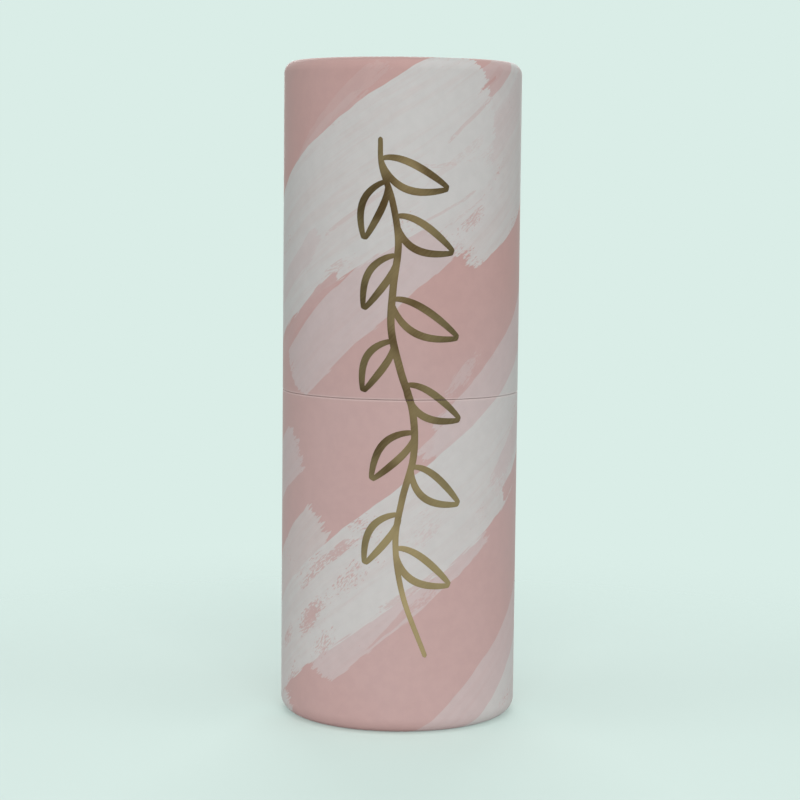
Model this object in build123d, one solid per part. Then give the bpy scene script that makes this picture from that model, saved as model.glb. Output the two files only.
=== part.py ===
from build123d import *
import math
import os

# Driving sizes of the closed box, in millimetres
outer_radius = 39.0
lid_height = 107.5
base_height = 107.5
neck_exposed_height = 60.0

# Board and paper
wrap_thickness = 0.2
wall_board_thickness = 1.5
neck_board_thickness = 1.2
disc_board_thickness = 2.0
board_edge_radius = 0.1
turn_in_depth = 12.0

# Rolled edges at the two closed ends
lid_roll_radius = 4.0
base_roll_radius = 5.0
rolled_land_width = 1.0
rolled_fold_radius = 2.5

# Lengthwise overlap of the printed wraps, at the back
overlap_width = 8.0
overlap_step = 0.15
overlap_angle = 128.0

# Clearances
neck_clearance = 0.3
end_disc_clearance = 0.3
paper_disc_clearance = 0.1
overrun = 1.0

# Sizes that follow
total_height = base_height + lid_height
board_outer_radius = outer_radius - wrap_thickness
board_bore_radius = board_outer_radius - wall_board_thickness
lined_bore_radius = board_bore_radius - wrap_thickness
neck_outer_radius = lined_bore_radius - neck_clearance
neck_board_radius = neck_outer_radius - wrap_thickness
neck_bore_radius = neck_board_radius - neck_board_thickness
rolled_wall_thickness = wrap_thickness + wall_board_thickness
floor_height = base_roll_radius + disc_board_thickness + wrap_thickness
neck_top_height = base_height + neck_exposed_height


def plain_tube(radius, bore_radius, low, high):
    """A straight tube round the axis, between two heights."""
    outside = Cylinder(radius, high - low, align=(Align.CENTER, Align.CENTER, Align.MIN))
    bore = Cylinder(
        bore_radius, high - low + 2 * overrun, align=(Align.CENTER, Align.CENTER, Align.MIN)
    )
    return Pos(0, 0, low) * (outside - Pos(0, 0, -overrun) * bore)


def plain_disc(radius, low, high):
    """A flat disc round the axis, between two heights."""
    return Pos(0, 0, low) * Cylinder(
        radius, high - low, align=(Align.CENTER, Align.CENTER, Align.MIN)
    )


def turned(outer_path, inner_path):
    """The ring swept by the strip between two paths that are drawn in radius and height."""
    ends = [
        Line(outer_path @ 0, inner_path @ 0),
        Line(outer_path @ 1, inner_path @ 1),
    ]
    strip = make_face(outer_path.edges() + inner_path.edges() + ends)
    return revolve(Plane.XZ * strip, Axis.Z)


def board_tube(radius, bore_radius, low, high):
    """A wound board tube whose upper rim has its two edges pressed round."""
    tube = plain_tube(radius, bore_radius, low, high)
    return fillet(tube.edges().group_by(Axis.Z)[-1], board_edge_radius)


def rim_path(radius, bore_radius, low, high, depth):
    """A wrap's path up the wall, over the rim and down inside, at a depth below its printed face."""
    edge_radius = board_edge_radius + wrap_thickness
    edge_height = high - edge_radius
    fold_end_radius = bore_radius - wrap_thickness
    outer_edge = CenterArc((radius - edge_radius, edge_height), edge_radius - depth, 0, 90)
    inner_edge = CenterArc((fold_end_radius + edge_radius, edge_height), edge_radius - depth, 90, 90)
    return Wire(
        [
            Line((radius - depth, low), outer_edge @ 0),
            outer_edge,
            Line(outer_edge @ 1, inner_edge @ 0),
            inner_edge,
            Line(inner_edge @ 1, (fold_end_radius + depth, high - turn_in_depth)),
        ]
    )


def paper_wrap(radius, bore_radius, low, high):
    """A sheet round a board tube, folded over the rim and down inside by the turn-in's depth."""
    return turned(
        rim_path(radius, bore_radius, low, high, 0),
        rim_path(radius, bore_radius, low, high, wrap_thickness),
    )


def overlap_strip(low, high):
    """The upper layer of the wrap where its two lengthwise edges lie over each other."""
    ring = plain_tube(outer_radius + overlap_step, board_outer_radius, low, high)
    strip_angle = math.degrees(overlap_width / outer_radius)
    wedge = Pos(0, 0, low) * Cylinder(
        outer_radius + overrun,
        high - low,
        arc_size=strip_angle,
        align=(Align.NONE, Align.NONE, Align.MIN),
    )
    return ring & (Rot(0, 0, overlap_angle) * wedge)


def printed_wrap(height, roll_radius):
    """The printed sheet from the rolled edge to the rim, with its overlap at the back."""
    sheet = paper_wrap(outer_radius, board_bore_radius, roll_radius, height)
    rim_edge_height = height - board_edge_radius - wrap_thickness
    return sheet + overlap_strip(roll_radius, rim_edge_height)


def rolled_path(roll_radius, depth):
    """The path round a rolled edge from the wall to the lip, at a depth below its printed face."""
    land_outer_radius = outer_radius - roll_radius
    land_inner_radius = land_outer_radius - rolled_land_width
    lip_radius = land_inner_radius - rolled_fold_radius
    wall_arc = CenterArc((land_outer_radius, roll_radius), roll_radius - depth, 0, -90)
    fold_arc = CenterArc(
        (land_inner_radius, rolled_fold_radius), rolled_fold_radius - depth, -90, -90
    )
    return Wire(
        [
            wall_arc,
            Line(wall_arc @ 1, fold_arc @ 0),
            fold_arc,
            Line(fold_arc @ 1, (lip_radius + depth, roll_radius)),
        ]
    )


def rolled_rim(roll_radius):
    """The wall's end, board and print together, rolled inwards and back onto the end disc."""
    return turned(rolled_path(roll_radius, 0), rolled_path(roll_radius, rolled_wall_thickness))


def lip_bore_radius(roll_radius):
    """The radius inside a rolled edge's lip, where the outer paper disc lies."""
    return outer_radius - roll_radius - rolled_land_width - rolled_fold_radius


def shell(height, roll_radius, outer_paper_name, inner_paper_name):
    """The pieces of one half of the box, drawn with its closed end down at height zero."""
    disc_top = roll_radius + disc_board_thickness
    paper_top = disc_top + wrap_thickness
    outer_paper_radius = lip_bore_radius(roll_radius) - paper_disc_clearance
    return {
        "core_tube": board_tube(
            board_outer_radius, board_bore_radius, roll_radius, height - wrap_thickness
        ),
        "rolled_rim": rolled_rim(roll_radius),
        "printed_wrap": printed_wrap(height, roll_radius),
        "inner_liner": plain_tube(
            board_bore_radius, lined_bore_radius, paper_top, height - turn_in_depth
        ),
        "end_disc": plain_disc(board_bore_radius - end_disc_clearance, roll_radius, disc_top),
        outer_paper_name: plain_disc(
            outer_paper_radius, roll_radius - wrap_thickness, roll_radius
        ),
        inner_paper_name: plain_disc(
            board_bore_radius - paper_disc_clearance, disc_top, paper_top
        ),
    }


def lid_placed(piece):
    """A piece of the lid, turned closed end up and set on the base's rim."""
    return Pos(0, 0, total_height) * mirror(piece, about=Plane.XY)


def neck():
    """The inner tube that stands on the base's floor and guides the lid."""
    return {
        "neck_core_tube": board_tube(
            neck_board_radius, neck_bore_radius, floor_height, neck_top_height - wrap_thickness
        ),
        "neck_outer_wrap": paper_wrap(
            neck_outer_radius, neck_bore_radius, floor_height, neck_top_height
        ),
        "neck_inner_liner": plain_tube(
            neck_bore_radius,
            neck_bore_radius - wrap_thickness,
            floor_height,
            neck_top_height - turn_in_depth,
        ),
    }


def box_pieces():
    """Every piece of the closed box by name."""
    pieces = {}
    base = shell(base_height, base_roll_radius, "bottom_paper", "floor_paper")
    for name, piece in base.items():
        pieces["base_" + name] = piece
    pieces.update(neck())
    lid = shell(lid_height, lid_roll_radius, "top_paper", "ceiling_paper")
    for name, piece in lid.items():
        pieces["lid_" + name] = lid_placed(piece)
    return pieces


os.makedirs("parts", exist_ok=True)
for node, piece in box_pieces().items():
    export_step(piece, f"parts/{node}.step")
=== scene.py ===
import math

import bmesh
import bpy
import numpy as np
from mathutils import Matrix, Vector


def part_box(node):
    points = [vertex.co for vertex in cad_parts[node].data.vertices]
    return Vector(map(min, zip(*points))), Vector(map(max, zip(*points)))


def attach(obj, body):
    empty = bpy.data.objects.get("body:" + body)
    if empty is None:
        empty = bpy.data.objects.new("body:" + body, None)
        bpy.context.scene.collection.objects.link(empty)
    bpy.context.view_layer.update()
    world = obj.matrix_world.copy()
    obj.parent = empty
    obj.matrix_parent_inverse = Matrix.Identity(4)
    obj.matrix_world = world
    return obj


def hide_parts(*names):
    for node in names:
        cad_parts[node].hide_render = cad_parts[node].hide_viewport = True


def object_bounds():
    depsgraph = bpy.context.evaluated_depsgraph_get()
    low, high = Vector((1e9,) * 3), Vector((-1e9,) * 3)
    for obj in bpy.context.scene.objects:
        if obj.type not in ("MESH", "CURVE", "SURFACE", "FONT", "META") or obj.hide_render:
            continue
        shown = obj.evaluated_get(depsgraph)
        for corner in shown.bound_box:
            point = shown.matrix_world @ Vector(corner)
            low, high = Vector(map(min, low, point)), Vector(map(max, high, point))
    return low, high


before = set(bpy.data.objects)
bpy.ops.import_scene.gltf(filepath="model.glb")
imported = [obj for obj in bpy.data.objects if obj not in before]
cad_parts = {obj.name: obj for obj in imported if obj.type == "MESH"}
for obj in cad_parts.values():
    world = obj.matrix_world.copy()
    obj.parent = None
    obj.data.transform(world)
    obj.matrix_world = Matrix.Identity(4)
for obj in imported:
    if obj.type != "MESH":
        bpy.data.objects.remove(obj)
cad_low, cad_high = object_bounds()

# Sizes of the box, read from the frame, in metres
tube_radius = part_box("base_rolled_rim")[1].x
box_height = cad_high.z
seam_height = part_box("base_printed_wrap")[1].z
lid_roll_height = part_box("lid_rolled_rim")[0].z
base_roll_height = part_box("base_rolled_rim")[1].z
liner_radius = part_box("base_inner_liner")[1].x
lid_disc_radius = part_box("lid_top_paper")[1].x
base_disc_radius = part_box("base_bottom_paper")[1].x

# The front's middle, as an angle round the axis
front_sector_degrees = -90.0

# Paper and board of the dressed pieces, in metres and degrees
foil_room = 0.00005
paper_thickness = 0.00015
board_thickness = 0.0017
base_edge_radius = 0.0005
lid_edge_radius = 0.00018
seam_gap = 0.00009
turn_in_depth = 0.012
fold_radius = 0.0025
disc_clearance = 0.0001
overlap_step = 0.00015
overlap_degrees = 128.0
overlap_width_degrees = 11.75
overlap_edge_degrees = 0.12
overlap_slope_degrees = 6.0
rim_turn_share = 0.29

# Pleats of the rolled ends
pleat_count = 96
pleat_depth = 0.00013
pleat_width_degrees = 0.55
pleat_wander_share = 0.38
pleat_depth_shares = (0.25, 1.0)
pleat_width_shares = (0.6, 1.4)
pleat_growth_power = 1.5
base_pleat_seed = 11
lid_pleat_seed = 23

# How finely the pieces are drawn
wrap_sides = 720
rim_sides = 1344
edge_arc_steps = 8
roll_arc_steps = 20
fold_arc_steps = 14
sharp_edge_degrees = 38

# Colours as they look on the object, in sRGB from 0 to 255
pink_print = (192, 163, 160)
deep_pink_print = (191, 156, 151)
veil_print = (197, 183, 182)
white_print = (200, 199, 197)
# The seam's pale edge: paper worn at the fold, and a painted highlight on the rim's rounding
wear_and_highlight_colour = (226, 212, 208)
mint_backdrop = (218, 237, 231)
mint_floor = (231, 251, 245)
floor_bounce = (228, 228, 226)
liner_white = (226, 222, 214)
neck_white = (228, 222, 214)
board_grey = (150, 140, 126)
board_fleck = (96, 88, 78)
# The gold foil's deep and pale ends, between which its painted reflection runs
foil_deep = (68, 53, 34)
foil_pale = (173, 155, 117)

# Camera, from a fit to the object's outline in the photograph, with its angles in radians
camera_distance = 0.75075
camera_height = 0.1762
camera_pitch = -0.0961
camera_roll = -0.0101
camera_lens_mm = 102.08
camera_sensor_mm = 36.0

# Most of a noise's values lie between these two
noise_span_shares = (0.3, 0.7)


def linear_colour(colour):
    """An sRGB colour from 0 to 255 as a linear colour with full alpha, by the standard's formula."""
    channels = []
    for value in colour:
        share = value / 255
        channels.append(share / 12.92 if share <= 0.04045 else ((share + 0.055) / 1.055) ** 2.4)
    return (*channels, 1.0)


class Graph:
    """A shader tree, with short calls that add its nodes and link them."""

    def __init__(self, tree):
        self.tree = tree

    def node(self, kind, *values, **settings):
        """A new node with those settings, and with the values on its first inputs."""
        made = self.tree.nodes.new(kind)
        for name, value in settings.items():
            setattr(made, name, value)
        for socket, value in zip(made.inputs, values):
            self.put(socket, value)
        return made

    def put(self, socket, value):
        """Links an output to the socket, or sets the socket to a plain value."""
        if isinstance(value, bpy.types.NodeSocket):
            self.tree.links.new(value, socket)
        else:
            socket.default_value = value

    def fill(self, node, values):
        """Puts each value on the input of its name."""
        for name, value in values.items():
            self.put(node.inputs[name], value)

    def math(self, operation, *values, clamp=False):
        return self.node("ShaderNodeMath", *values, operation=operation, use_clamp=clamp).outputs[0]

    def add(self, first, second):
        return self.math("ADD", first, second)

    def subtract(self, first, second):
        return self.math("SUBTRACT", first, second)

    def multiply(self, first, second):
        return self.math("MULTIPLY", first, second)

    def product_sum(self, first, by_first, second, by_second):
        """The sum of two products."""
        return self.add(self.multiply(first, by_first), self.multiply(second, by_second))

    def vector_math(self, operation, *values):
        return self.node("ShaderNodeVectorMath", *values, operation=operation).outputs[0]

    def combine(self, x, y=0.0):
        return self.node("ShaderNodeCombineXYZ", x, y).outputs[0]

    def separate(self, vector):
        return self.node("ShaderNodeSeparateXYZ", vector).outputs

    def ramp(self, value, low, high, to_low=0.0, to_high=1.0, smooth=True):
        """The value carried from low..high to to_low..to_high, held at the ends."""
        made = self.node("ShaderNodeMapRange", value, low, high, to_low, to_high, clamp=True)
        made.interpolation_type = "SMOOTHSTEP" if smooth else "LINEAR"
        return made.outputs[0]

    def spread(self, noise, to_shares):
        """Noise carried from its usual span to two shares."""
        return self.ramp(noise, *noise_span_shares, *to_shares)

    def place(self):
        """The place of a point on its object, in metres."""
        return self.node("ShaderNodeTexCoord").outputs["Object"]

    def noise(self, vector, scale=1.0, detail=1.0, roughness=0.5, dimensions="3D"):
        made = self.node("ShaderNodeTexNoise", noise_dimensions=dimensions)
        values = {"Vector": vector, "Scale": scale, "Detail": detail, "Roughness": roughness}
        self.fill(made, values)
        return made.outputs[0]

    def mix_colour(self, share, first, second):
        """The two colours mixed. Colour sockets come after those for numbers and vectors."""
        made = self.node("ShaderNodeMix", data_type="RGBA")
        self.put(made.inputs[0], share)
        self.put(made.inputs[6], first)
        self.put(made.inputs[7], second)
        return made.outputs[2]

    def bump(self, height, distance, strength):
        made = self.node("ShaderNodeBump")
        self.fill(made, {"Strength": strength, "Distance": distance, "Height": height})
        return made.outputs[0]


def new_material(name):
    """An empty node material with a principled shader, and the graph to fill it with."""
    material = bpy.data.materials.new(name)
    material.use_nodes = True
    material.node_tree.nodes.clear()
    graph = Graph(material.node_tree)
    shader = graph.node("ShaderNodeBsdfPrincipled")
    graph.node("ShaderNodeOutputMaterial", shader.outputs[0])
    return material, graph, shader


def new_object(name, data):
    """An object of the scene that holds the data."""
    made = bpy.data.objects.new(name, data)
    bpy.context.scene.collection.objects.link(made)
    return made


def wear(node_name, material):
    """Gives a node of the frame the material in place of its plain one."""
    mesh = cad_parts[node_name].data
    mesh.materials.clear()
    mesh.materials.append(material)


# Printed sheets and rolled ends, as turned pieces

def arc(centre, reach, start_degrees, end_degrees, steps):
    """Points of a round or oval arc. Its centre and its reach are each a radius and a height."""
    points = []
    for turn in np.radians(np.linspace(start_degrees, end_degrees, steps + 1)):
        points.append((centre[0] + reach[0] * math.cos(turn), centre[1] + reach[1] * math.sin(turn)))
    return points


def wrap_path(low, high, edge_radius, depth):
    """A sheet's path up the wall, over the rim and down inside, at a depth below its printed face."""
    radius = tube_radius - foil_room
    folded_radius = liner_radius - paper_thickness
    outer_centre = (radius - edge_radius, high - edge_radius)
    inner_centre = (folded_radius + edge_radius, high - edge_radius)
    reach = (edge_radius - depth, edge_radius - depth)
    wall = [(radius - depth, low)]
    outer_edge = arc(outer_centre, reach, 0, 90, edge_arc_steps)
    inner_edge = arc(inner_centre, reach, 90, 180, edge_arc_steps)
    return wall + outer_edge + inner_edge + [(folded_radius + depth, high - turn_in_depth)]


def rolled_path(roll_height, lip_radius, depth):
    """The path round a rolled end from the wall to the lip, at a depth below its printed face."""
    roll_centre = (tube_radius - roll_height, roll_height)
    roll_reach = (roll_height - foil_room - depth, roll_height - depth)
    fold_centre = (lip_radius + fold_radius, fold_radius)
    fold_reach = (fold_radius - depth, fold_radius - depth)
    roll = arc(roll_centre, roll_reach, 0, -90, roll_arc_steps)
    fold = arc(fold_centre, fold_reach, -90, -180, fold_arc_steps)
    return roll + fold + [(lip_radius + depth, roll_height)]


def overlap_relief(sectors):
    """How far the sheet's overlap lifts its face: a sharp paper edge, and a soft slope where it ends."""
    turn = (sectors - overlap_degrees) % 360
    rise = np.clip(turn / overlap_edge_degrees, 0, 1)
    fall = np.clip((overlap_width_degrees - turn) / overlap_slope_degrees, 0, 1)
    return overlap_step * rise * fall * fall * (3 - 2 * fall)


def pleat_relief(sectors, seed):
    """The depth of the fine uneven pleats that the paper takes where it is rolled in."""
    draw = np.random.default_rng(seed)
    wander = draw.uniform(-pleat_wander_share, pleat_wander_share, pleat_count)
    middles = (np.arange(pleat_count) + wander) * 360 / pleat_count
    depths = draw.uniform(*pleat_depth_shares, pleat_count)
    widths = pleat_width_degrees * draw.uniform(*pleat_width_shares, pleat_count)
    relief = np.zeros_like(sectors)
    for middle, depth, width in zip(middles, depths, widths):
        distance = (sectors - middle + 180) % 360 - 180
        relief = np.maximum(relief, depth * np.exp(-((distance / width) ** 2)))
    return pleat_depth * relief


def ring_faces(rows, columns):
    """The four-cornered faces of a closed ring whose corners are counted row by row."""
    row = np.arange(rows)[:, None]
    column = np.arange(columns)[None, :]
    next_row = (row + 1) % rows
    next_column = (column + 1) % columns
    corners = [
        row * columns + column,
        next_row * columns + column,
        next_row * columns + next_column,
        row * columns + next_column,
    ]
    return np.stack(corners, axis=2).reshape(-1, 4).tolist()


def turned_piece(name, outer, inner, sides, upside_down, lift_of):
    """A closed ring turned from the strip between two paths, with its outer face lifted or sunk."""
    sectors = np.linspace(0, 360, sides, endpoint=False)
    edge_sectors = overlap_degrees + np.array([0, overlap_edge_degrees])
    sectors = np.unique(np.concatenate([sectors, edge_sectors]))
    profile = np.array(outer + inner[::-1])
    around = np.radians(sectors)[:, None]
    radii = np.repeat(profile[None, :, 0], len(sectors), axis=0)
    heights = np.repeat(profile[None, :, 1], len(sectors), axis=0)
    path = np.array(outer)
    along = np.gradient(path, axis=0)
    normals = np.stack([-along[:, 1], along[:, 0]], axis=1)
    normals /= np.linalg.norm(normals, axis=1)[:, None]
    lift = lift_of(sectors, path)
    radii[:, : len(outer)] += lift * normals[:, 0] * np.sign(normals[0, 0])
    heights[:, : len(outer)] += lift * normals[:, 1] * np.sign(normals[0, 0])
    if upside_down:
        heights = box_height - heights
    corners = np.stack([radii * np.cos(around), radii * np.sin(around), heights], axis=2)
    faces = ring_faces(len(sectors), len(profile))
    return mesh_piece(name, corners.reshape(-1, 3).tolist(), faces)


def mesh_piece(name, corners, faces):
    """An object with those corners and faces."""
    mesh = bpy.data.meshes.new(name)
    mesh.from_pydata(corners, [], faces)
    shape = bmesh.new()
    shape.from_mesh(mesh)
    return smooth_piece(name, mesh, shape)


def smooth_piece(name, mesh, shape):
    """An object with the finished shape as its smooth mesh, whose faces look outwards."""
    bmesh.ops.recalc_face_normals(shape, faces=shape.faces)
    shape.to_mesh(mesh)
    shape.free()
    mesh.shade_smooth()
    mesh.set_sharp_from_angle(angle=math.radians(sharp_edge_degrees))
    return new_object(name, mesh)


def wall_lift(edge_radius):
    """The overlap's lift on the wall, gone where the sheet turns over the rim."""

    def lift(sectors, path):
        turned_over = (path[0, 0] - path[:, 0]) / (rim_turn_share * edge_radius)
        return overlap_relief(sectors)[:, None] * np.clip(1 - turned_over, 0, 1)[None, :]

    return lift


def rolled_lift(seed):
    """The overlap's lift and the pleats' depth on a rolled end, as the pleats grow from wall to lip."""

    def lift(sectors, path):
        rolled_in = np.clip((tube_radius - path[:, 0]) / (2 * fold_radius), 0, 1)
        overlap = overlap_relief(sectors)[:, None] * np.clip(1 - 2 * rolled_in, 0, 1)[None, :]
        return overlap - pleat_relief(sectors, seed)[:, None] * (rolled_in**pleat_growth_power)[None, :]

    return lift


def dress(piece, node_name, body, material):
    """Sets a piece on its body with its slot and material, in place of a node if one is named."""
    piece.data.materials.append(material)
    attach(piece, body)
    if node_name:
        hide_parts(node_name)


def add_half(body, material, rim_height, edge_radius, roll_height, disc_radius, upside_down, seed):
    """The printed sheet and the rolled end of one half of the box."""
    outer = wrap_path(roll_height, rim_height, edge_radius, 0)
    inner = wrap_path(roll_height, rim_height, edge_radius, paper_thickness)
    lift_of = wall_lift(edge_radius)
    wrap = turned_piece(body + "_wrap", outer, inner, wrap_sides, upside_down, lift_of)
    dress(wrap, body + "_printed_wrap", body, material)
    outer = rolled_path(roll_height, disc_radius + disc_clearance, 0)
    inner = rolled_path(roll_height, disc_radius + disc_clearance, board_thickness)
    lift_of = rolled_lift(seed)
    rolled_end = turned_piece(body + "_rolled_end", outer, inner, rim_sides, upside_down, lift_of)
    dress(rolled_end, body + "_rolled_rim", body, material)


# Brush strokes of the print

edge_softness = 0.00022
edge_wander = 0.0008
edge_wander_length = 0.014
bristle_width = 0.0006
bristle_length = 0.009
comb_width = 0.0022
comb_length = 0.05
gap_width = 0.00048
gap_length = 0.0019
patch_width = 0.011
patch_length = 0.022
paint_thickness = 0.00002

# How a stroke narrows to its tail, how round its ends are, and how far its marks reach into them
narrowing_power = 1.6
end_round_share = 0.35
comb_reach_share = 3.2
bristle_reach_share = 2.2

# Dry gaps, which gather in patches and near the ends and sides, and how far cover varies elsewhere
gap_share = 0.65
patch_share = 0.67
dry_end_reach = 0.010
dry_end_share = 0.16
dry_side_reach = 0.003
dry_side_share = 0.06
wet_share = 1.06
dryness_share = 0.4
dry_edge_shares = (-0.02, 0.03)
full_cover_share = 0.95
bristle_cover_share = 0.22
comb_cover_share = 0.45

# The first seeds of the two tables of strokes, and how far apart two seeds' noises lie
sheet_first_seed = 1
disc_first_seed = 60
seed_step = (0.731, 0.417, 0.0)
wander_seed_step = 5.37


def stroke_noise(graph, given, length, width, detail, roughness=0.5):
    """Noise drawn out along the stroke, with marks of that length and width."""
    scale = (length, width, width)
    values = (given["sheet_place"], given["seed_place"], given["turn"], scale)
    turned = graph.node("ShaderNodeMapping", *values, vector_type="TEXTURE")
    return graph.noise(turned.outputs[0], detail=detail, roughness=roughness, dimensions="2D")


def place_in_stroke(graph, given):
    """A place along the stroke, that as a share of half its length, and aside of its bowed middle."""
    values = (given["sheet_place"], given["centre"], given["turn"])
    own_place = graph.node("ShaderNodeMapping", *values, vector_type="TEXTURE")
    along, straight_aside, _ = graph.separate(own_place.outputs[0])
    along_share = graph.math("DIVIDE", along, given["half_length"])
    bow = graph.multiply(graph.multiply(along_share, along_share), given["sag"])
    bowed_aside = graph.add(straight_aside, bow)
    wander_place = graph.add(graph.math("DIVIDE", along, edge_wander_length), given["seed"])
    wander = graph.noise(graph.combine(wander_place), detail=2.0, dimensions="2D")
    wander = graph.subtract(wander, 0.5)
    aside = graph.math("MULTIPLY_ADD", wander, 2 * edge_wander, bowed_aside)
    return along, along_share, aside


def room_to_sides(graph, given, along_share, aside, bristle):
    """How far inside the stroke's ragged sides a place lies."""
    upper_side = graph.math("GREATER_THAN", aside, 0.0)
    rag_step = graph.subtract(given["upper_rag"], given["lower_rag"])
    side_rag = graph.math("MULTIPLY_ADD", rag_step, upper_side, given["lower_rag"])
    tail_share = graph.ramp(along_share, -1.0, 1.0, 1.0, 0.0, smooth=False)
    tail_share = graph.math("POWER", tail_share, narrowing_power)
    narrowing = graph.multiply(given["taper"], tail_share)
    width_here = graph.multiply(given["half_width"], graph.subtract(1.0, narrowing))
    side_room = graph.subtract(width_here, graph.math("ABSOLUTE", aside))
    return graph.math("MULTIPLY_ADD", bristle, side_rag, side_room)


def room_to_ends(graph, given, along, aside, bristle, comb):
    """How far inside the stroke's rounded, combed ends a place lies."""
    right_end = graph.math("GREATER_THAN", along, 0.0)
    rag_step = graph.subtract(given["end_rag"], given["start_rag"])
    end_rag = graph.math("MULTIPLY_ADD", rag_step, right_end, given["start_rag"])
    skewed_along = graph.subtract(along, graph.multiply(given["skew"], aside))
    end_room = graph.subtract(given["half_length"], graph.math("ABSOLUTE", skewed_along))
    rounding = graph.math("DIVIDE", graph.multiply(aside, aside), given["half_width"])
    end_room = graph.math("MULTIPLY_ADD", rounding, -end_round_share, end_room)
    comb_reach = graph.multiply(end_rag, comb_reach_share)
    end_room = graph.math("MULTIPLY_ADD", comb, comb_reach, end_room)
    bristle_reach = graph.multiply(end_rag, bristle_reach_share)
    return graph.math("MULTIPLY_ADD", bristle, bristle_reach, end_room)


def dry_gaps(graph, given, side_room, end_room):
    """How bare the sheet is left by the stroke's dry gaps, from 0 to 1."""
    gap = stroke_noise(graph, given, gap_length, gap_width, detail=2.0, roughness=0.65)
    patch = stroke_noise(graph, given, patch_length, patch_width, detail=1.0)
    end_nearness = graph.ramp(end_room, 0.0, dry_end_reach, dry_end_share, 0.0)
    side_nearness = graph.ramp(side_room, 0.0, dry_side_reach, dry_side_share, 0.0)
    dry_field = graph.product_sum(gap, gap_share, patch, patch_share)
    dry_field = graph.add(dry_field, graph.add(end_nearness, side_nearness))
    wetness = graph.multiply(given["dryness"], dryness_share)
    threshold = graph.subtract(wet_share, wetness)
    return graph.ramp(graph.subtract(dry_field, threshold), *dry_edge_shares)


def brush_stroke_group():
    """A node group that gives the cover of one brush stroke at a place on the sheet, from 0 to 1."""
    tree = bpy.data.node_groups.new("brush_stroke", "ShaderNodeTree")
    for name in ("sheet_place", "centre", "turn", "seed_place"):
        tree.interface.new_socket(name, in_out="INPUT", socket_type="NodeSocketVector")
    inputs = (
        "half_length", "half_width", "sag", "taper", "skew",
        "start_rag", "end_rag", "upper_rag", "lower_rag", "dryness", "seed",
    )
    for name in inputs:
        tree.interface.new_socket(name, in_out="INPUT", socket_type="NodeSocketFloat")
    tree.interface.new_socket("cover", in_out="OUTPUT", socket_type="NodeSocketFloat")
    graph = Graph(tree)
    given = graph.node("NodeGroupInput").outputs
    along, along_share, aside = place_in_stroke(graph, given)
    bristle_marks = stroke_noise(graph, given, bristle_length, bristle_width, detail=1.5)
    bristle = graph.subtract(bristle_marks, 0.5)
    side_room = room_to_sides(graph, given, along_share, aside, bristle)
    comb_marks = stroke_noise(graph, given, comb_length, comb_width, detail=3.0)
    comb = graph.subtract(comb_marks, 0.5)
    end_room = room_to_ends(graph, given, along, aside, bristle, comb)
    body = graph.ramp(graph.math("MINIMUM", side_room, end_room), 0.0, edge_softness)
    bare = dry_gaps(graph, given, side_room, end_room)
    cover = graph.multiply(body, graph.subtract(1.0, bare))
    thinning = graph.math("MULTIPLY_ADD", bristle, bristle_cover_share, full_cover_share)
    thinning = graph.math("MULTIPLY_ADD", comb, comb_cover_share, thinning, clamp=True)
    output = graph.node("NodeGroupOutput")
    graph.put(output.inputs["cover"], graph.multiply(cover, thinning))
    return tree


# Strokes of the sheet round the box

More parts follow.
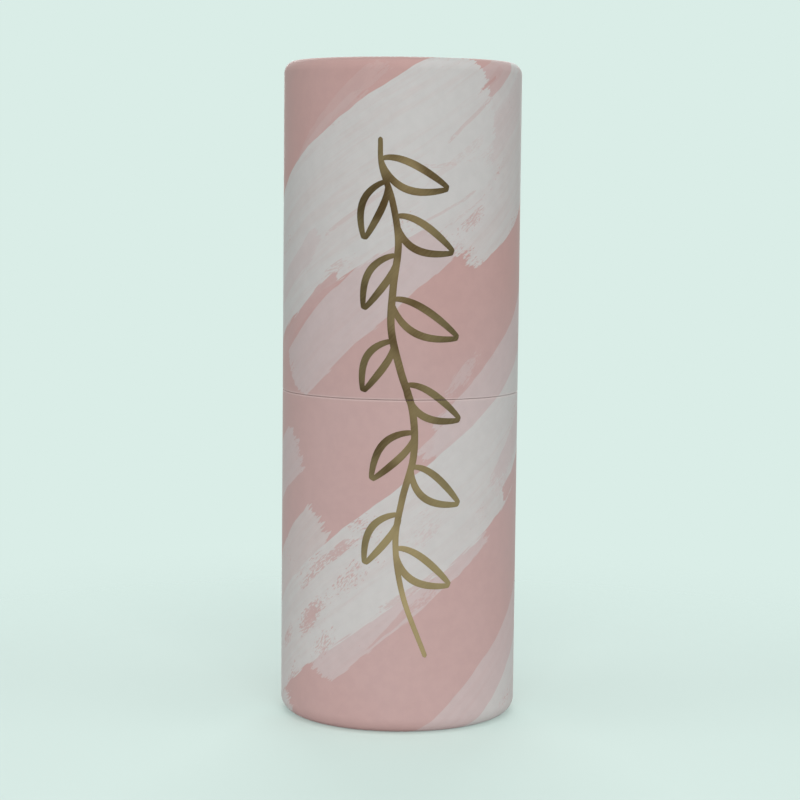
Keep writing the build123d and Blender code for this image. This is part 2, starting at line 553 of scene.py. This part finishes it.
# They stand from the first painted to the last. Places and lengths count in sheet units, of which the
# box's height holds 215: across from the front's middle to the right, and up from the foot. Each
# stroke runs from its lower left end to its upper right end.
white, veil, pink, deep = "white", "veil", "pink", "deep"
sheet_units = 215
stroke_fields = (
    "paint", "opacity", "start_across", "start_up", "end_across", "end_up", "half_width", "sag",
    "taper", "skew", "start_rag", "end_rag", "upper_rag", "lower_rag", "dryness",
)
sheet_stroke_shares = (
    # Left side and back
    (veil, 0.9, -118, 96, -66, 134, 8, 1, 0.1, 0, 4, 3, 1.5, 2, 0.45),
    (white, 0.95, -125, 30, -74, 72, 9, 1, 0.1, 0.2, 4, 3, 0.6, 2, 0.5),
    (veil, 0.88, -112, 160, -62, 200, 8, 1, 0.2, 0, 4, 3, 1.5, 1.5, 0.45),
    (veil, 0.9, -104, -10, -62, 20, 7, 0, 0.1, 0, 4, 3, 1.5, 1.5, 0.4),
    (veil, 0.9, 64, 98, 120, 143, 9, 1, 0.2, 0, 4, 3, 1.5, 2, 0.4),
    (white, 0.95, 78, 128, 146, 182, 14, 1, 0, 0.4, 5, 4, 0.5, 2, 0.48),
    (veil, 0.9, 98, 92, 158, 136, 8, 1, 0.1, 0, 4, 3, 1.5, 1.5, 0.4),
    (white, 0.95, 84, 36, 156, 94, 13, 0, 0.1, 0.4, 5, 4, 0.8, 2, 0.52),
    (veil, 0.88, 114, 166, 166, 210, 9, 1, 0, 0, 4, 3, 1.5, 1.5, 0.38),
    (veil, 0.9, 108, -6, 156, 32, 8, 1, 0, 0, 4, 3, 1.5, 1.5, 0.4),
    # Upper left, faint streaks on the pink
    (veil, 0.2, -40, 184, -6, 214, 3.2, 1, 0.6, 0, 3, 3, 1, 1, 0.5),
    (veil, 0.26, -56, 166, -12, 204, 4, 1, 0.5, 0, 3, 3, 1, 1, 0.5),
    # The gap at the end of the great white stroke, and the pointed veil stroke that ends on the seam
    (veil, 0.58, 12, 192, 50, 218, 8, 0, 0, 0, 2, 2, 0.5, 1, 0.25),
    (veil, 0.95, -43, 112, 34, 180, 9.3, 0, 0, 0, 0.8, 3, 0.5, 1.6, 0.22),
    # The two white strokes of the lid, and what shows through them
    (white, 0.93, 12, 160, 80, 216, 20.5, -4, 0, 0.2, 2.5, 3, 0.6, 0.8, 0.36),
    (veil, 0.4, 20, 180, 62, 214, 6, 0, 0, 0, 2, 2, 0.8, 0.8, 0.66),
    (white, 1, -86, 128, 31, 203.5, 23.2, 0.6, 0.25, 0.3, 3, 1.8, 0.1, 2.5, 0.22),
    (pink, 0.45, 14, 188, 31, 203, 0.8, 0, 0.3, 0, 2, 2, 0.4, 0.4, 0.3),
    (pink, 0.6, 25, 203, 37, 213, 1.6, 0, 0.5, 0, 1.5, 1.5, 0.8, 0.8, 0.4),
    (pink, 0.36, -26, 159, 0, 177, 1, 0, 0.3, 0, 2, 2, 0.8, 0.8, 0.4),
    (pink, 0.3, 8, 180, 32, 185, 0.9, -1, 0.3, 0, 2, 2, 0.6, 0.6, 0.6),
    (pink, 0.4, 3, 161, 25, 173.5, 0.55, 0, 0.2, 0, 2, 2, 0.6, 0.6, 0.6),
    (pink, 0.34, 8, 158, 27, 170.5, 0.6, 0, 0.2, 0, 2, 2, 0.8, 0.8, 0.6),
    (pink, 0.95, -53, 120, -21.5, 146.3, 2.1, 0, 0, 0, 2, 2, 1, 0.5, 0.3),
    (pink, 0.2, 8, 176, 28, 190, 1.6, 0, 0.5, 0, 2, 2, 0.8, 0.8, 0.6),
    (veil, 0.55, -60, 134, -28, 158, 3.6, -2, 0, 0, 1.5, 2, 0.3, 2, 0.4),
    (pink, 0.5, -34, 141, 4, 163, 2.6, 0, 0, 0, 2, 2, 1, 1, 1.15),
    # The stroke that runs from the lid's right edge down across the base
    (veil, 0.93, 12, 86, 80, 146, 12, 0, 0, 0.4, 2.2, 3, 1.6, 0.8, 0.36),
    (veil, 0.93, -30, 20, 29, 69, 8.3, 0, 0, 0, 2.4, 2.4, 1, 1.6, 0.4),
    (white, 0.98, -68, 11, 67, 110, 16.4, 0, 0.23, 0.3, 3, 3, 0.2, 2.4, 0.35),
    (veil, 0.8, 34, 78, 62, 104, 4.5, 1, 0, 0, 2, 2, 1.5, 1.5, 0.5),
    (white, 0.72, -75, 27, -27, 68, 7.4, 0, 0.1, 0, 3, 2.4, 0.8, 0.6, 0.44),
    # Dry patches in it
    (pink, 0.85, -38, 45, -12, 65, 1.8, 1, 0, 0, 2, 2, 1.2, 1.2, 0.82),
    (pink, 0.9, -20, 44, -7, 60, 4, 0, 0, 0, 2, 2, 2, 2, 1.08),
    (pink, 0.9, -37, 30, -11, 52, 4.6, 0, 0, 0, 2, 2, 2, 2, 1.09),
    (pink, 0.85, -32, 20, -18, 38, 4.6, 0, 0, 0, 2, 2, 2, 2, 1.16),
    (veil, 0.75, 0, 60, 18, 75, 5, 0, 0, 0, 2, 2, 2, 2, 1.15),
    (pink, 0.85, -52, 18, -39, 32, 3.6, 0, 0, 0, 2, 2, 2, 2, 1.02),
    (pink, 0.8, -11, 26.8, 12, 47.5, 1.8, 0, 0.95, 0, 2, 3, 1, 0.8, 0.4),
    (pink, 0.5, -8, 39, 14, 52.5, 1.2, 0, 0, 0, 2, 2, 1, 1, 0.75),
    # Left edge
    (veil, 0.93, -84, 62, -39, 92, 8.6, 1, 0, 0, 3, 2.2, 1, 0.8, 0.34),
    (white, 0.92, -82, -20, -44, 6, 5, 0, 0, 0, 3, 3, 1.2, 1.2, 0.4),
    # Lower right, a veil with white beside it
    (veil, 0.84, -7, -26, 85, 58, 10.2, 1, 0, 0, 3, 3, 0.5, 0.8, 0.15),
    (white, 0.95, 10, -31, 96, 46, 12.8, 0, 0, 0, 3, 3, 1.4, 1.4, 0.32),
    # The ends of the base's great stroke, at the seam and at the right
    (veil, 0.88, 7, 89.5, 17, 98.5, 2.8, 0, 0.2, 0, 2.5, 1, 1.5, 1.5, 0.35),
    (pink, 0.97, 41, 74.8, 66, 92.3, 2.6, 0, 0, 0, 1, 1, 0.8, 0.4, 0.2),
    # A bare sliver at the end of the great white stroke
    (deep, 0.9, 27.2, 205.2, 33.4, 209.6, 0.6, 0, 0, 0, 0.3, 0.3, 0.2, 0.2, 0.1),
    # Fine dry marks at the end of the right white stroke, and above the seam
    (pink, 0.8, 12, 153, 34, 170, 3.4, 0, 0, 0, 2, 2, 1.5, 1.5, 1.02),
    (veil, 0.55, 15, 108, 28, 123, 2.4, 0, 0, 0, 2, 2, 1.5, 1.5, 0.8),
)
disc_stroke_shares = (
    (veil, 0.9, -31, -20, 39, 42, 8, 1, 0.1, 0, 3, 3, 1.2, 1.6, 0.4),
    (white, 0.95, -41, -41, 33, 19, 9, 1, 0, 0, 3, 3, 0.6, 2, 0.48),
)


def painted(graph, group, base, across, up, strokes, first_seed, low, high):
    """The base colour with those strokes laid over it, one after another, that reach low..high.

    The paint below nudges the place at which the next stroke is worked out, by its own thickness.
    """
    paints = {
        white: linear_colour(white_print),
        veil: linear_colour(veil_print),
        pink: linear_colour(pink_print),
        deep: linear_colour(deep_pink_print),
    }
    unit = box_height / sheet_units
    lengths = ("half_width", "sag", "start_rag", "end_rag", "upper_rag", "lower_rag")
    plain_fields = ("taper", "skew", "dryness")
    colour = base
    place = graph.combine(across, up)
    for number, row in enumerate(strokes):
        stroke = dict(zip(stroke_fields, row))
        start = Vector((stroke["start_across"], stroke["start_up"], 0)) * unit
        end = Vector((stroke["end_across"], stroke["end_up"], 0)) * unit
        spare = (stroke["half_width"] + stroke["end_rag"] + stroke["start_rag"]) * unit
        if end.y + spare < low or start.y - spare > high:
            continue
        seed = first_seed + number
        along = end - start
        values = {
            "sheet_place": place,
            "centre": (start + end) / 2,
            "turn": (0, 0, math.atan2(along.y, along.x)),
            "half_length": along.length / 2,
            "seed_place": Vector(seed_step) * seed,
            "seed": seed * wander_seed_step,
        }
        values.update({field: stroke[field] * unit for field in lengths})
        values.update({field: stroke[field] for field in plain_fields})
        made = graph.node("ShaderNodeGroup", node_tree=group)
        graph.fill(made, values)
        cover = graph.multiply(made.outputs["cover"], stroke["opacity"])
        colour = graph.mix_colour(cover, colour, paints[stroke["paint"]])
        nudge = graph.combine(graph.multiply(cover, paint_thickness))
        place = graph.vector_math("ADD", place, nudge)
    return colour


# The sheet's place and ground

# How much of a rolled end's depth counts up the sheet, the pink's tint, which deepens above the seam,
# and the pale edge at the seam: paper worn at the fold, and a painted highlight on the rim's rounding
rolled_in_share = 0.7
tint_reach = 0.045
tint_rise_share = 0.7
tint_mottle_shares = (0.0, 0.3)
wear_and_highlight_low = 0.0003
wear_and_highlight_high = 0.0008
wear_and_highlight_share = 0.3


def sheet_place(graph):
    """A point's place, and where it lies on the flat sheet: across from the front's middle, and up."""
    place = graph.place()
    x, y, z = graph.separate(place)
    cut = math.radians(overlap_degrees)
    turned_x = graph.product_sum(x, -math.cos(cut), y, -math.sin(cut))
    turned_y = graph.product_sum(x, math.sin(cut), y, -math.cos(cut))
    sector = graph.math("ARCTAN2", turned_y, turned_x)
    front = math.radians(front_sector_degrees - overlap_degrees + 180)
    across = graph.multiply(graph.subtract(sector, front), tube_radius)
    radius = graph.math("SQRT", graph.product_sum(x, x, y, y))
    rolled_in = graph.multiply(graph.subtract(tube_radius, radius), rolled_in_share)
    upper_half = graph.math("GREATER_THAN", z, seam_height)
    side = graph.math("MULTIPLY_ADD", upper_half, 2.0, -1.0)
    up = graph.math("MULTIPLY_ADD", rolled_in, side, z)
    return place, across, up


# Laminate over the print

# What its noises do to tone and roughness, and the grain's depth
mottle_tone_shares = (0.975, 1.015)
grain_tone_shares = (-0.012, 0.012)
laminate_roughness_shares = (0.50, 0.58)
grain_depth = 0.00003


def finish_print(graph, shader, place, colour):
    """The matt laminate over the print: fine grain, soft mottling and a little sheen."""
    grain = graph.noise(place, scale=5200.0, detail=2.0, roughness=0.6)
    mottle = graph.noise(place, scale=260.0, detail=3.0, roughness=0.55)
    mottle_tone = graph.spread(mottle, mottle_tone_shares)
    shade = graph.add(mottle_tone, graph.spread(grain, grain_tone_shares))
    toned = graph.vector_math("SCALE", colour)
    graph.put(toned.node.inputs["Scale"], shade)
    values = {
        "Base Color": toned,
        "Roughness": graph.spread(mottle, laminate_roughness_shares),
        "Normal": graph.bump(grain, grain_depth, strength=0.35),
        "Specular IOR Level": 0.22,
        "Sheen Weight": 0.05,
        "Sheen Roughness": 0.4,
    }
    graph.fill(shader, values)


def printed_sheet_material(name, group, low, high):
    """The matt printed paper round one half of the box, between two heights."""
    material, graph, shader = new_material(name)
    place, across, up = sheet_place(graph)
    tint = graph.noise(graph.combine(across, up), scale=22.0, detail=2.0)
    rise = graph.ramp(up, seam_height, seam_height + tint_reach, 0.0, tint_rise_share)
    depth = graph.add(graph.spread(tint, tint_mottle_shares), rise)
    base = graph.mix_colour(depth, linear_colour(pink_print), linear_colour(deep_pink_print))
    colour = painted(
        graph, group, base, across, up, sheet_stroke_shares, sheet_first_seed, low, high
    )
    # A paler band at the seam: wear where the paper folds over the rim, and a painted highlight on its
    # rounded edge
    from_rim = graph.math("ABSOLUTE", graph.subtract(up, seam_height))
    wear_and_highlight = graph.ramp(from_rim, wear_and_highlight_low, wear_and_highlight_high, wear_and_highlight_share, 0.0)
    colour = graph.mix_colour(wear_and_highlight, colour, linear_colour(wear_and_highlight_colour))
    finish_print(graph, shader, place, colour)
    return material


def printed_disc_material(group):
    """The printed paper discs in the recesses of the two rolled ends."""
    material, graph, shader = new_material("printed_disc")
    place = graph.place()
    x, y, _ = graph.separate(place)
    base = linear_colour(pink_print)
    colour = painted(
        graph, group, base, x, y, disc_stroke_shares, disc_first_seed, -tube_radius, tube_radius
    )
    finish_print(graph, shader, place, colour)
    return material


# Liner and neck paper

liner_ply_width = 0.062
neck_ply_width = 0.09
ply_lay_degrees = 52
ply_joint_share = 0.012
ply_joint_tone_share = 0.5
dark_paper_share = 0.93
fibre_span_shares = (0.35, 0.65)
fibre_tone_shares = (0.0, 0.5)
fibre_height_share = 0.4
fibre_depth = 0.00008
cloud_tone_shares = (0.0, 0.3)
paper_roughness_shares = (0.72, 0.85)


def wound_paper_material(name, colour, ply_width):
    """Uncoated white paper with fine fibres and the faint helical joint of its wound ply."""
    material, graph, shader = new_material(name)
    place = graph.place()
    x, y, z = graph.separate(place)
    sector = graph.math("ARCTAN2", y, x)
    climb = graph.multiply(sector, tube_radius * math.tan(math.radians(ply_lay_degrees)))
    turn = graph.math("DIVIDE", graph.add(z, climb), ply_width)
    joint_distance = graph.math("ABSOLUTE", graph.subtract(graph.math("FRACT", turn), 0.5))
    joint = graph.ramp(joint_distance, 0.0, ply_joint_share, 1.0, 0.0)
    fibre = graph.noise(place, scale=2600.0, detail=4.0, roughness=0.65)
    cloud = graph.noise(place, scale=180.0, detail=3.0)
    dark = linear_colour([dark_paper_share * value for value in colour])
    fibre_tone = graph.ramp(fibre, *fibre_span_shares, *fibre_tone_shares)
    tone = graph.add(fibre_tone, graph.spread(cloud, cloud_tone_shares))
    joint_tone = graph.multiply(joint, ply_joint_tone_share)
    tone = graph.math("ADD", tone, joint_tone, clamp=True)
    height = graph.subtract(graph.multiply(fibre, fibre_height_share), joint)
    values = {
        "Base Color": graph.mix_colour(tone, linear_colour(colour), dark),
        "Roughness": graph.spread(fibre, paper_roughness_shares),
        "Normal": graph.bump(height, fibre_depth, strength=0.5),
        "Specular IOR Level": 0.25,
    }
    graph.fill(shader, values)
    return material


# Greyboard

pulp_span_shares = (0.35, 0.7)
pulp_tone_shares = (0.0, 0.5)
pulp_depth = 0.0001
fleck_span_shares = (0.62, 0.7)


def greyboard_material():
    """Wound greyboard: layered grey-brown pulp with darker flecks."""
    material, graph, shader = new_material("greyboard")
    place = graph.place()
    pulp = graph.noise(place, scale=900.0, detail=5.0, roughness=0.65)
    fleck = graph.noise(place, scale=2400.0, detail=2.0)
    pulp_tone = graph.ramp(pulp, *pulp_span_shares, *pulp_tone_shares)
    tone = graph.math("MAXIMUM", pulp_tone, graph.ramp(fleck, *fleck_span_shares))
    values = {
        "Base Color": graph.mix_colour(tone, linear_colour(board_grey), linear_colour(board_fleck)),
        "Roughness": 0.9,
        "Normal": graph.bump(pulp, pulp_depth, strength=0.6),
    }
    graph.fill(shader, values)
    return material


# Gold foil

# Its colour carries a painted reflection: pale low down and deep higher up, and a little paler towards
# both sides. The reaches are shares of the box's height, up from the foot or across from the front's
# middle.
reflection_climb_reach_shares = (0.08, 0.44)
reflection_climb_tone_shares = (0.78, 0.02)
reflection_right_reach_shares = (-0.05, 0.2)
reflection_right_tone_shares = (0.0, 0.3)
reflection_left_reach_shares = (-0.08, -0.02)
reflection_left_tone_shares = (0.16, 0.0)
drag_tone_shares = (-0.04, 0.05)
sway_tone_shares = (-0.07, 0.13)
foil_roughness_shares = (0.48, 0.56)
drag_along_scale = 150.0
drag_aside_scale = 1500.0
drag_height_share = 0.6
foil_tooth_depth = 0.00002


def foil_material():
    """Hot-stamped gold foil, with the paper's tooth showing through, fine drag lines, and a painted
    reflection in its colour.
    """
    material, graph, shader = new_material("gold_foil")
    place, across, up = sheet_place(graph)

    def even_change(distance, reach_shares, tone_shares):
        """The tone that changes evenly while the distance goes over its reach."""
        low, high = [share * box_height for share in reach_shares]
        return graph.ramp(distance, low, high, *tone_shares, smooth=False)

    drag_place = graph.combine(
        graph.multiply(graph.add(across, up), drag_along_scale),
        graph.multiply(graph.subtract(up, across), drag_aside_scale),
    )
    drag = graph.noise(drag_place, detail=3.0, roughness=0.6)
    tooth = graph.noise(place, scale=3000.0, detail=2.0)
    sway = graph.noise(graph.combine(across, up), scale=70.0, detail=1.0, dimensions="2D")
    # Painted reflection: paler low down and towards both sides, deeper higher up
    climb = even_change(up, reflection_climb_reach_shares, reflection_climb_tone_shares)
    right_reflection = even_change(across, reflection_right_reach_shares, reflection_right_tone_shares)
    left_reflection = even_change(across, reflection_left_reach_shares, reflection_left_tone_shares)
    tone = graph.add(climb, graph.add(right_reflection, left_reflection))
    drag_tone = graph.spread(drag, drag_tone_shares)
    sheen = graph.add(drag_tone, graph.spread(sway, sway_tone_shares))
    tone = graph.math("ADD", tone, sheen, clamp=True)
    height = graph.add(graph.multiply(drag, drag_height_share), tooth)
    values = {
        "Base Color": graph.mix_colour(tone, linear_colour(foil_deep), linear_colour(foil_pale)),
        "Metallic": 1.0,
        "Roughness": graph.spread(drag, foil_roughness_shares),
        "Normal": graph.bump(height, foil_tooth_depth, strength=0.3),
    }
    graph.fill(shader, values)
    return material


# Gold foil sprig

foil_line_width = 0.0024
foil_height = 0.000038
foil_sink = 0.00003
foil_step = 0.0005
curve_points = 24
leaf_points = 60

# How the lines swell between their ends, how the leaves' outlines do, and the rounding of line ends
stem_end_share = 0.62
stem_swell_power = 0.75
leaf_end_share = 0.55
leaf_swell_power = 0.7
leaf_tip_power = 0.8
leaf_round_power = 0.85
line_round_share = 0.97

# A line's relief across its width, and the steps in height that keep crossing lines apart
line_across_shares = (-1, -0.9, -0.5, 0, 0.5, 0.9, 1)
line_relief_shares = (0.55, 0.9, 1, 1, 1, 0.9, 0.55)
line_step_share = 0.05
line_step_count = 5

# How far below or above the rim the foil ends, and where it bends over the edge, in edge radii
foil_end_share = 0.12
foil_bend_shares = (0.2, 0.35, 0.5, 0.75, 1)

# The stem's knots from the top down, in sheet units, as for the strokes
stem_shares = (
    (-7, 190), (-6.5, 181), (-3, 170), (-1, 157), (-2.5, 143), (-3, 130), (0, 117),
    (4, 104), (4.5, 90), (1, 76), (-1, 62), (1.5, 45), (9, 25),
)

# Each leaf runs from its foot on the stem to its tip, with its half width and its bend to the left
leaf_shares = (
    (-6.5, 183, 15, 174, 4.0, -1.5),
    (-5.0, 176, -12, 158, 3.2, -1.5),
    (-1.8, 165, 17, 154, 4.0, -1.5),
    (-1.6, 153, -12, 136, 3.2, -1.5),
    (-2.8, 139, 19, 127, 4.0, -1.5),
    (-2.4, 126, -12, 110, 3.2, -1.5),
    (1.8, 112, 20, 101, 3.8, -1.5),
    (4.6, 97, -9, 82, 3.4, -1.5),
    (4.0, 86, 20, 74, 3.8, -1.5),
    (-0.2, 71, -11, 55, 3.2, -1.5),
    (-0.8, 60, 17, 48, 3.8, -1.5),
)


def smooth_path(knots, step):
    """Points at even steps along a smooth curve through the knots."""
    knots = np.array(knots, dtype=float)
    padded = np.vstack([2 * knots[0] - knots[1], knots, 2 * knots[-1] - knots[-2]])
    points = []
    for first, second, third, fourth in zip(padded, padded[1:], padded[2:], padded[3:]):
        for share in np.linspace(0, 1, curve_points, endpoint=False):
            points.append(
                second
                + share * (third - first) / 2
                + share**2 * (2 * first - 5 * second + 4 * third - fourth) / 2
                + share**3 * (3 * (second - third) + fourth - first) / 2
            )
    return even_steps(np.array(points + [knots[-1]]), step)


def even_steps(points, step):
    """The same path with its points at even steps."""
    reach = np.concatenate([[0], np.cumsum(np.linalg.norm(np.diff(points, axis=0), axis=1))])
    count = max(int(reach[-1] / step), 2)
    places = np.linspace(0, reach[-1], count + 1)
    return np.stack([np.interp(places, reach, points[:, axis]) for axis in (0, 1)], axis=1)


def leaf_sides(foot, tip, half_width, bend):
    """The two curved sides of a leaf's outline."""
    share = np.linspace(0, 1, leaf_points)
    axis = tip - foot
    aside = np.array([-axis[1], axis[0]]) / np.linalg.norm(axis)
    spine = foot + share[:, None] * axis + np.sin(math.pi * share)[:, None] * bend * aside
    swell = np.sin(math.pi * share**leaf_tip_power) ** leaf_round_power * half_width
    for side in (-1, 1):
        yield even_steps(spine + side * swell[:, None] * aside, foil_step)


def foil_lines():
    """Every line of the sprig: its path on the flat sheet and its half widths, in metres."""
    unit = box_height / sheet_units
    half = foil_line_width / 2
    stem = smooth_path(np.array(stem_shares) * unit, foil_step)
    along = np.linspace(0, 1, len(stem))
    swell = np.sin(math.pi * along**stem_swell_power)
    yield stem, half * (stem_end_share + (1 - stem_end_share) * swell)
    for foot_across, foot_up, tip_across, tip_up, half_width, bend in leaf_shares:
        foot = np.array([foot_across, foot_up]) * unit
        tip = np.array([tip_across, tip_up]) * unit
        for side in leaf_sides(foot, tip, half_width * unit, bend * unit):
            along = np.linspace(0, 1, len(side))
            swell = np.sin(math.pi * along) ** leaf_swell_power
            yield side, half * (leaf_end_share + (1 - leaf_end_share) * swell)


def flat_foil():
    """The sprig's face as flat strips on the sheet's plane, highest along the middle of each line."""
    shape = bmesh.new()
    for number, (path, half_widths) in enumerate(foil_lines()):
        run = np.gradient(path, axis=0)
        aside = np.stack([-run[:, 1], run[:, 0]], axis=1) / np.linalg.norm(run, axis=1)[:, None]
        reach = np.concatenate([[0], np.cumsum(np.linalg.norm(np.diff(path, axis=0), axis=1))])
        from_end = np.minimum(reach, reach[-1] - reach)
        round_off = np.clip(1 - from_end / half_widths, 0, line_round_share)
        widths = half_widths * np.sqrt(1 - round_off**2)
        height = foil_height * (1 - line_step_share * (number % line_step_count))
        rows = []
        for point, side, width in zip(path, aside, widths):
            row = [
                shape.verts.new((*(point + side * width * share), height * relief))
                for share, relief in zip(line_across_shares, line_relief_shares)
            ]
            rows.append(row)
        for row, next_row in zip(rows, rows[1:]):
            for left, far_left, far_right, right in zip(row, next_row, next_row[1:], row[1:]):
                shape.faces.new((left, far_left, far_right, right))
    return shape


def cut_foil(shape, height, cleared_side=0):
    """Cuts the flat strips at a height, and takes away what lies above (1) or below (-1)."""
    bmesh.ops.bisect_plane(
        shape,
        geom=shape.verts[:] + shape.edges[:] + shape.faces[:],
        plane_co=(0, height, 0),
        plane_no=(0, 1, 0),
        clear_outer=cleared_side > 0,
        clear_inner=cleared_side < 0,
    )


def sheet_face_radius(height, rim_height, edge_radius):
    """The radius of the printed face at a height, with the rounded edge of its rim."""
    radius = tube_radius - foil_room
    inward = max(edge_radius - abs(height - rim_height), 0)
    return radius - edge_radius + math.sqrt(edge_radius**2 - inward**2)


def add_foil(body, material, cleared_side, rim_height, edge_radius):
    """The part of the sprig on one half of the box, laid round the wall as a thin closed sheet."""
    shape = flat_foil()
    away = -cleared_side * edge_radius
    cut_foil(shape, rim_height + foil_end_share * away, cleared_side)
    for share in foil_bend_shares:
        cut_foil(shape, rim_height + share * away)
    top_faces = shape.faces[:]
    rims = [edge for edge in shape.edges if edge.is_boundary]
    unders = {}
    for corner in shape.verts[:]:
        unders[corner] = shape.verts.new((corner.co.x, corner.co.y, -foil_sink))
    for face in top_faces:
        shape.faces.new([unders[corner] for corner in reversed(face.verts)])
    for edge in rims:
        first, second = edge.verts
        shape.faces.new((first, second, unders[second], unders[first]))
    for corner in shape.verts:
        radius = sheet_face_radius(corner.co.y, rim_height, edge_radius) + corner.co.z
        sector = math.radians(front_sector_degrees) + corner.co.x / tube_radius
        corner.co = (radius * math.cos(sector), radius * math.sin(sector), corner.co.y)
    name = body + "_foil_sprig"
    piece = smooth_piece(name, bpy.data.meshes.new(name), shape)
    dress(piece, None, body, material)


# Camera

def add_camera():
    """The photograph's view: from in front, slightly below the lid's top, looking a little down."""
    data = bpy.data.cameras.new("camera")
    data.sensor_width = camera_sensor_mm
    data.lens = camera_lens_mm
    camera = new_object("camera", data)
    level = Matrix.Rotation(math.pi / 2, 4, "X")
    turn = Matrix.Rotation(camera_pitch, 4, "X") @ Matrix.Rotation(camera_roll, 4, "Y")
    camera.matrix_world = Matrix.Translation((0, -camera_distance, camera_height)) @ turn @ level
    bpy.context.scene.camera = camera


# Stage and light

floor_radius = 1.6
floor_hole_radius = 0.0342
floor_drop = 0.00002
floor_sides = 96
floor_clear_radius = 0.06
floor_fade_radius = 0.35
floor_clear_share = 0.3
ambient_strength = 0.36

# Each lamp's name, place, width, height and watts
lamps = (
    ("key", (0.12, -1.5, 0.5), 1.1, 1.1, 13.2),
    ("top", (0.0, -0.2, 1.4), 0.9, 0.9, 4.4),
    ("left_fill", (-1.4, -0.4, 0.4), 0.8, 1.0, 3.8),
    ("right_fill", (1.4, -0.4, 0.4), 0.8, 1.0, 3.2),
    ("back_fill", (0.0, 1.5, 0.6), 1.0, 1.0, 11.0),
)


def floor_material():
    """Matt and pale, clear far away and from below, and thinner where the camera sees it."""
    material, graph, shader = new_material("floor")
    seen = graph.node("ShaderNodeLightPath").outputs["Is Camera Ray"]
    colour = graph.mix_colour(seen, linear_colour(floor_bounce), linear_colour(mint_floor))
    graph.fill(shader, {"Base Color": colour, "Roughness": 0.9, "Specular IOR Level": 0.0})
    clear = graph.node("ShaderNodeBsdfTransparent")
    distance = graph.vector_math("LENGTH", graph.place()).node.outputs["Value"]
    fade = graph.ramp(distance, floor_clear_radius, floor_fade_radius)
    underside = graph.node("ShaderNodeNewGeometry").outputs["Backfacing"]
    clearness = graph.math("MAXIMUM", underside, floor_clear_share)
    fade = graph.math("MAXIMUM", fade, graph.multiply(clearness, seen))
    blend = graph.node("ShaderNodeMixShader", fade, shader.outputs[0], clear.outputs[0])
    output = next(node for node in graph.tree.nodes if node.type == "OUTPUT_MATERIAL")
    graph.put(output.inputs[0], blend.outputs[0])
    return material


def add_floor():
    """A round pale floor that keeps the shadow near the box and fades into the backdrop.

    It is open under the foot and is seen from above only, so that it doesn't hide the underside.
    """
    mesh = bpy.data.meshes.new("floor")
    corners = []
    faces = []
    for side in range(floor_sides):
        turn = 2 * math.pi * side / floor_sides
        next_side = (side + 1) % floor_sides
        for radius in (floor_hole_radius, floor_radius):
            corners.append((radius * math.cos(turn), radius * math.sin(turn), -floor_drop))
        faces.append((2 * side, 2 * side + 1, 2 * next_side + 1, 2 * next_side))
    mesh.from_pydata(corners, [], faces)
    mesh.materials.append(floor_material())
    floor = new_object("floor", mesh)


def add_world():
    """Even white light all round, with the mint backdrop seen directly and in gloss."""
    world = bpy.data.worlds.new("studio")
    world.use_nodes = True
    world.node_tree.nodes.clear()
    bpy.context.scene.world = world
    graph = Graph(world.node_tree)
    rays = graph.node("ShaderNodeLightPath").outputs
    seen = graph.math("MAXIMUM", rays["Is Camera Ray"], rays["Is Glossy Ray"])
    seen = graph.math("MAXIMUM", seen, rays["Is Transmission Ray"])
    backdrop = graph.node("ShaderNodeBackground", linear_colour(mint_backdrop))
    ambient = graph.node("ShaderNodeBackground")
    ambient.inputs["Strength"].default_value = ambient_strength
    blend = graph.node("ShaderNodeMixShader", seen, ambient.outputs[0], backdrop.outputs[0])
    graph.node("ShaderNodeOutputWorld", blend.outputs[0])


def add_lamp(name, place, width, height, watts):
    """A soft rectangular lamp that faces the box's middle."""
    data = bpy.data.lights.new(name, "AREA")
    data.shape = "RECTANGLE"
    data.size = width
    data.size_y = height
    data.energy = watts
    lamp = new_object(name, data)
    lamp.location = place
    aim = Vector((0, 0, box_height / 2)) - Vector(place)
    lamp.rotation_euler = aim.to_track_quat("-Z", "Y").to_euler()


def add_lights():
    """Broad soft light from the front and the back, and weaker light from above and the sides."""
    for name, place, width, height, watts in lamps:
        add_lamp(name, place, width, height, watts)


# The dressed box

stroke_group = brush_stroke_group()
lid_sheet = printed_sheet_material("lid_sheet", stroke_group, seam_height, box_height)
base_sheet = printed_sheet_material("base_sheet", stroke_group, 0, seam_height)
printed_disc = printed_disc_material(stroke_group)
liner = wound_paper_material("liner_paper", liner_white, liner_ply_width)
neck_paper = wound_paper_material("neck_paper", neck_white, neck_ply_width)
greyboard = greyboard_material()
gold_foil = foil_material()

node_materials = {
    "base_core_tube": greyboard,
    "base_inner_liner": liner,
    "base_end_disc": greyboard,
    "base_bottom_paper": printed_disc,
    "base_floor_paper": liner,
    "neck_core_tube": greyboard,
    "neck_outer_wrap": neck_paper,
    "neck_inner_liner": liner,
    "lid_end_disc": greyboard,
    "lid_core_tube": greyboard,
    "lid_inner_liner": liner,
    "lid_top_paper": printed_disc,
    "lid_ceiling_paper": liner,
}
for node_name, node_material in node_materials.items():
    wear(node_name, node_material)

lid_rim_height = seam_height + seam_gap
add_half(
    body="base",
    material=base_sheet,
    rim_height=seam_height,
    edge_radius=base_edge_radius,
    roll_height=base_roll_height,
    disc_radius=base_disc_radius,
    upside_down=False,
    seed=base_pleat_seed,
)
add_half(
    body="lid",
    material=lid_sheet,
    rim_height=box_height - lid_rim_height,
    edge_radius=lid_edge_radius,
    roll_height=box_height - lid_roll_height,
    disc_radius=lid_disc_radius,
    upside_down=True,
    seed=lid_pleat_seed,
)
add_foil("base", gold_foil, 1, seam_height, base_edge_radius)
add_foil("lid", gold_foil, -1, lid_rim_height, lid_edge_radius)

add_camera()
add_floor()
add_world()
add_lights()
bpy.context.scene.view_settings.view_transform = "Standard"
